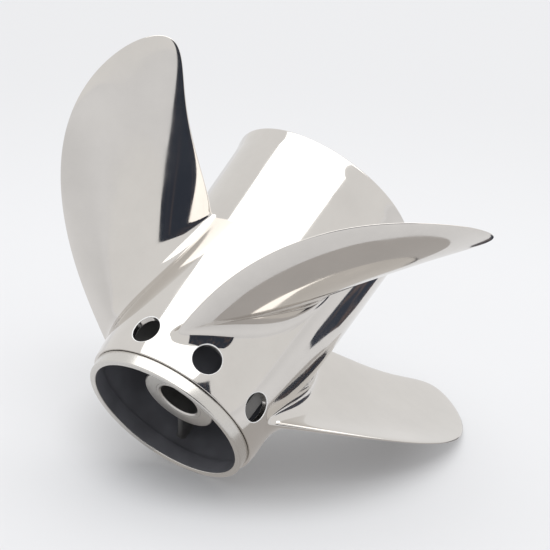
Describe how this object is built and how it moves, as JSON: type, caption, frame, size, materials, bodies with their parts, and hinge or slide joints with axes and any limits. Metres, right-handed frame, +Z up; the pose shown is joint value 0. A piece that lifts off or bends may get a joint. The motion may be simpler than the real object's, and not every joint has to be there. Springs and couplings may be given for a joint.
{
  "type": "outboard propeller",
  "caption": "Raked stainless outboard propeller with a vented through-hub exhaust barrel, an inner drive hub on webs and broad rounded blades, lying at rest.",
  "frame": {"origin": "on the floor, under the middle of the propeller as it lies at rest", "axes": "+Z up; the drive axis lies in the YZ plane and rises 33.83 degrees from the gearcase end at -Y to the exhaust end at +Y"},
  "size_m": [0.3524, 0.283, 0.2973],
  "materials": {
    "polished_stainless": "cast stainless steel, mirror polished",
    "machined_stainless": "turned stainless steel, satin",
    "cast_stainless": "as cast inside the barrel, dark with exhaust"
  },
  "bodies": {
    "root": {"vent_band": "polished_stainless", "barrel_skin": "polished_stainless", "front_collar": "machined_stainless", "rear_flare": "polished_stainless", "inner_hub": "machined_stainless", "drive_sleeve": "machined_stainless", "rib_1": "cast_stainless", "rib_2": "cast_stainless", "rib_3": "cast_stainless", "blade_1": "polished_stainless", "blade_2": "polished_stainless", "blade_3": "polished_stainless", "blade_4": "polished_stainless"}
  },
  "joints": []
}
